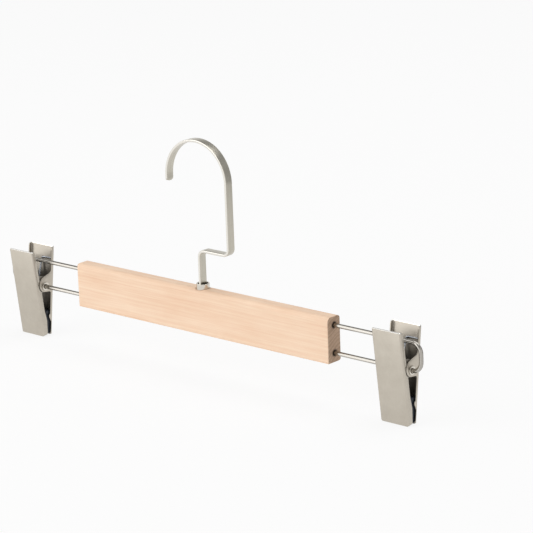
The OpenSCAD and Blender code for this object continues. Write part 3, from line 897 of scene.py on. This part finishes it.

# %% [markdown]
# ## Springs
# Each clip is closed by one torsion spring: four turns round the sleeve, and two legs whose ends
# are bent over and press on the insides of the plates. The coil stays where it is while the jaws
# turn, and the legs give way with them; here each spring is made at rest, as two lengths that
# meet in the middle of the coil, and neither follows a jaw. A leg touches the coil's circle, so
# its lean follows from where the bent end lies.

# %% The line of a spring
JAWS = (("rear", 1), ("front", -1))
SPRING_D, COIL_R, COIL_TURNS, COIL_GAP, COIL_START = 1.2, 3.2, 4, 0.45, 0.6
RUN_GAP, END_DOWN, END_L = 0.07, 8.3, 9.4
ELBOW_R, COIL_STEPS, ELBOW_STEPS = 1.5 * SPRING_D, 84, 8
end_z = CLIP_UP - END_DOWN
end_y = inner_y(end_z) - (SPRING_D / 2 + RUN_GAP) / math.cos(LEAN)
leg_reach = math.hypot(end_y, end_z)
leg_lean = math.atan2(end_y, end_z) - math.asin(COIL_R / leg_reach)
leg_l = math.sqrt(leg_reach ** 2 - COIL_R ** 2)
coil_angle = 2 * math.pi * COIL_TURNS + math.pi - 2 * leg_lean
coil_l = (SPRING_D + COIL_GAP) * coil_angle / (2 * math.pi)
print("legs", round(leg_l, 1), "long, leaning by", round(math.degrees(leg_lean), 1), "degrees")


def half_spring(way):
    """Line from the middle of the coil to the bent end: way is 1 to the rear, -1 to the front."""
    coil = []
    for k in range(COIL_STEPS + 1):
        share = 0.5 - way * 0.5 * k / COIL_STEPS
        a = -leg_lean - coil_angle * share
        coil.append(Vector((COIL_START + coil_l * share, COIL_R * math.cos(a),
                            COIL_R * math.sin(a))))
    foot = coil.pop()
    top = Vector((foot.x, way * (COIL_R * math.cos(leg_lean) + leg_l * math.sin(leg_lean)),
                  leg_l * math.cos(leg_lean) - COIL_R * math.sin(leg_lean)))
    end = top + Vector((way * END_L, 0, 0))
    return coil + bent_line([foot, top, end], ELBOW_R, ELBOW_STEPS)


# %% Springs, each from two lengths
BEND_FROM, BEND_TO = WIRE_LOW + 4.0, WIRE_LOW + 13.0  # heights at which the legs would give way; not used

for side, hand in SIDES:
    at = hand * CLIP_X
    place = Vector((at, 0, WIRE_LOW))
    for jaw, way in JAWS:
        spring = make_piece("%s_%s_spring" % (side, jaw), [p + place for p in half_spring(way)],
                            wire_tree, round_wire(SPRING_D), spring_metal)
        at * MM
        BEND_FROM * MM
        at * MM
        BEND_TO * MM
        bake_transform(spring)
        if jaw == "rear":
            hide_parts(side + "_spring")

# %% [markdown]
# ## Rubber pads
# The pads that grip the cloth are moulded, with soft corners and ribs across the face. A box
# with a Bevel modifier could not carry the ribs, so a tree shapes a fine block: every point
# near an edge is drawn onto the round of that edge, and the face is sunk between the ribs.

# %% The tree that shapes a pad
PAD_GRID = {"Vertices X": 26, "Vertices Y": 10, "Vertices Z": 72}

# In shares of a rib, of half the pad's height and of half its depth
GROOVE_FROM, GROOVE_FULL = 0.2, 0.02
PLAIN_END_FROM, PLAIN_END_FULL = 0.9, 0.97
FACE_FROM, FACE_FULL = -0.2, -0.98


def make_pad_tree():
    """Fine block with round edges, thicker at its top, ribbed across its face."""
    tree = bpy.data.node_groups.new("ribbed_block", "GeometryNodeTree")
    add_inputs(tree, {"Half width": 10 * MM, "Half height": 8 * MM, "Round": 0.6 * MM,
                      "Ribs": 5.0, "Rib depth": 0.4 * MM, "Face": 0.15 * MM,
                      "Back at top": 4.9 * MM, "Back at foot": 3.0 * MM,
                      "Centre X": 0.0, "Centre Z": 0.0, "Way": 1.0})
    graph = Graph(tree)
    given = graph.node("NodeGroupInput", out="Geometry")
    half_w, half_h, soft = (given.other(n) for n in ("Half width", "Half height", "Round"))
    face, foot, way = (given.other(n) for n in ("Face", "Back at foot", "Way"))
    deep = (given.other("Back at top") - face) * 0.5
    block = graph.node("GeometryNodeMeshCube", None, dict(
        PAD_GRID, Size=graph.vector(half_w * 2, deep * 2, half_h * 2)))

    def maths(operation, *values):
        return graph.node(
            "ShaderNodeVectorMath", {"operation": operation}, dict(enumerate(values)))

    at = graph.node("GeometryNodeInputPosition")
    inner = graph.vector(half_w - soft, deep - soft, half_h - soft)
    core = maths("MAXIMUM", maths("MINIMUM", at, inner), maths("MULTIPLY", inner, (-1, -1, -1)))
    off = maths("NORMALIZE", maths("SUBTRACT", at, core))
    x, y, z = maths("ADD", core, maths("MULTIPLY", off, graph.vector(soft, soft, soft))).parts()

    # Grooves lie between the ribs, on the face only, and stop short of both ends
    height = z / half_h
    wave = ((height + 1.0) * 0.5 * given.other("Ribs")).fraction() - 0.5
    groove = abs(wave).ease(GROOVE_FROM, GROOVE_FULL)
    groove = groove * abs(height).ease(PLAIN_END_FULL, PLAIN_END_FROM)
    facing = (y / deep).ease(FACE_FROM, FACE_FULL)
    thick = foot + (given.other("Back at top") - foot) * (height + 1.0) * 0.5 - face
    share = (y / deep + 1.0) * 0.5
    across = face + share * thick + groove * facing * given.other("Rib depth")
    body = graph.node("GeometryNodeSetPosition", None, {
        "Geometry": block,
        "Position": graph.vector(x * way + given.other("Centre X"), across * way,
                                 z + given.other("Centre Z"))})
    return end_tree(graph, body, given.other("Material"))


pad_tree = make_pad_tree()
print("nodes in the pad's tree:", len(pad_tree.nodes))

# %% Pads
RIBS, RIB_DEPTH, PAD_ROUND = 5, 0.42, 0.6
ANY_LINE = [Vector((0, 0, 0)), Vector((0, 0, 1))]  # the tree makes its own block
pad_low, pad_high = corners("right_rear_pad")
PAD_HALF, PAD_FACE = (pad_high[0] - pad_low[0]) / 2, pad_low[1]
PAD_FOOT, PAD_TOP = pad_low[2] - WIRE_LOW, pad_high[2] - WIRE_LOW

for side, hand in SIDES:
    for jaw, way in JAWS:
        pad = make_piece("%s_%s_grip" % (side, jaw), ANY_LINE, pad_tree, {
            "Half width": PAD_HALF * MM, "Half height": (PAD_TOP - PAD_FOOT) / 2 * MM,
            "Round": PAD_ROUND * MM, "Ribs": float(RIBS), "Rib depth": RIB_DEPTH * MM,
            "Face": PAD_FACE * MM, "Back at top": inner_y(PAD_TOP) * MM,
            "Back at foot": inner_y(PAD_FOOT) * MM, "Centre X": hand * CLIP_X * MM,
            "Centre Z": (WIRE_LOW + (PAD_TOP + PAD_FOOT) / 2) * MM, "Way": float(way)}, rubber)
        stand_for(pad, "%s_%s_pad" % (side, jaw))

# %% [markdown]
# ## Sleeves
# A tube runs through each clip, and its ends are rolled outwards so that the ears can't slip
# off. A turned shape is one outline carried round an axis, so a short function does that. A
# Screw modifier would too, but it leaves a seam that has to be merged.

# %% The outline of a sleeve
SLEEVE_R, RIM_T, MOUTH_R = 2.1, 0.5, 0.55
BORE_R = WIRE_D / 2 + RUN_GAP
RIM_STEPS, MOUTH_STEPS = 8, 5
sleeve_low, sleeve_high = corners("right_pivot_sleeve")
SLEEVE_HALF, RIM_R = (sleeve_high[0] - sleeve_low[0]) / 2, (sleeve_high[2] - sleeve_low[2]) / 2


def rolled_end(way):
    """Outline of one end, from the tube's outside round the rim to its bore."""
    x, edge = SLEEVE_HALF, RIM_T / 2
    lip = [(x - RIM_T, SLEEVE_R), (x - RIM_T, RIM_R - edge)]
    lip += [(x - edge - edge * math.cos(a), RIM_R - edge + edge * math.sin(a))
            for a in [math.pi * k / RIM_STEPS for k in range(1, RIM_STEPS)]]
    lip += [(x, RIM_R - edge)]
    lip += [(x - MOUTH_R * (1 - math.cos(a)), BORE_R + MOUTH_R * (1 - math.sin(a)))
            for a in [math.pi / 2 * k / MOUTH_STEPS for k in range(MOUTH_STEPS + 1)]]
    return [(way * px, r) for px, r in lip]


sleeve_outline = rolled_end(1) + rolled_end(-1)[::-1]
print("points in the outline:", len(sleeve_outline), "bore:", round(2 * BORE_R, 2))

# %% Sleeves with rolled rims
TURN_STEPS, SHARP_TURN = 64, math.radians(40)


def turn_about_x(name, outline, centre):
    """Closed outline of (x, radius), carried round a line along X."""
    points, faces, count = [], [], len(outline)
    for k in range(TURN_STEPS):
        a = 2 * math.pi * k / TURN_STEPS
        points += [(centre + Vector((x, r * math.cos(a), r * math.sin(a)))) * MM
                   for x, r in outline]
    for k in range(TURN_STEPS):
        for i in range(count):
            j, n = (i + 1) % count, (k + 1) % TURN_STEPS
            faces.append((k * count + i, k * count + j, n * count + j, n * count + i))
    mesh = bpy.data.meshes.new(name)
    mesh.from_pydata(points, [], faces)
    mesh.polygons.foreach_set("use_smooth", [True] * len(faces))
    mesh.set_sharp_from_angle(angle=SHARP_TURN)
    return add_object(name, mesh)


for side, hand in SIDES:
    sleeve = turn_about_x(
        side + "_sleeve_tube", sleeve_outline, Vector((hand * CLIP_X, 0, WIRE_LOW)))
    sleeve.data.materials.append(ferrule_metal)
    stand_for(sleeve, side + "_pivot_sleeve")
    print(sleeve.name, "faces:", len(sleeve.data.polygons))

# %% [markdown]
# ## Clip plates
# The plates are pressed from sheet, and pressing leaves every cut edge a little round. On
# sharp edges no light catches, and the sheet looks like card. So each plate is a copy of its
# solid with the loose triangles merged and a narrow Bevel on its sharp edges.

# %% Soft edges on the plates
EDGE_ROUND, EDGE_SEGMENTS = 0.14 * MM, 2
MERGE_WITHIN, FLAT_WITHIN = 0.001 * MM, math.radians(1.0)
BEVEL_OVER, SHARP_OVER = math.radians(50), math.radians(35)


def merged_copy(node, name):
    """A solid's mesh with its loose triangles joined and its flat faces made whole."""
    mesh = frame["nodes"][node].data.copy()
    work = bmesh.new()
    work.from_mesh(mesh)
    bmesh.ops.remove_doubles(work, verts=work.verts, dist=MERGE_WITHIN)
    bmesh.ops.dissolve_limit(work, angle_limit=FLAT_WITHIN, verts=work.verts, edges=work.edges)
    work.to_mesh(mesh)
    work.free()
    mesh.name = name
    return mesh


def soften(node, name):
    """The node's shape again, with a narrow round on its sharp edges."""
    made = add_object(name, merged_copy(node, name))
    bevel = made.modifiers.new("edge", "BEVEL")
    bevel.width, bevel.segments = EDGE_ROUND, EDGE_SEGMENTS
    bevel.limit_method, bevel.angle_limit = "ANGLE", BEVEL_OVER
    bevel.use_clamp_overlap = True
    ready = made.evaluated_get(bpy.context.evaluated_depsgraph_get())
    final = bpy.data.meshes.new_from_object(ready)
    made.modifiers.clear()
    made.data = final
    final.polygons.foreach_set("use_smooth", [True] * len(final.polygons))
    final.set_sharp_from_angle(angle=SHARP_OVER)
    final.materials.clear()
    final.materials.append(sheet_metal)
    print(name, "triangles:", triangles(final))
    return made


for side, _ in SIDES:
    for jaw in ("front", "rear"):
        plate = soften("%s_%s_plate" % (side, jaw), "%s_%s_shell" % (side, jaw))
        stand_for(plate, "%s_%s_plate" % (side, jaw))

# %% [markdown]
# ## Finishes of the solids
# The bar, the ferrule and the pieces of the swivel have their right shape already, and only
# need a finish. The solids that stay behind a finer piece get theirs too, so that none is
# left bare. A finish goes into the material slot of the solid's mesh, which is otherwise left
# as it is.

# %% Give the solids their finishes
finishes = {
    "wooden_bar": wood, "ferrule": ferrule_metal, "swivel_stud": stud_metal,
    "hook_cross_pin": stud_metal, "hook_washer": stud_metal, "hook": hook_metal,
}
for side, _ in SIDES:
    finishes[side + "_wire_loop"] = wire_metal
    finishes[side + "_pivot_sleeve"] = ferrule_metal
    finishes[side + "_spring"] = spring_metal
    for jaw, _ in JAWS:
        finishes["%s_%s_plate" % (side, jaw)] = sheet_metal
        finishes["%s_%s_pad" % (side, jaw)] = rubber
for name, material in finishes.items():
    slots = frame["nodes"][name].data.materials
    slots.clear()
    slots.append(material)
print("nodes with a finish:", len(finishes), "of", len(frame["nodes"]))
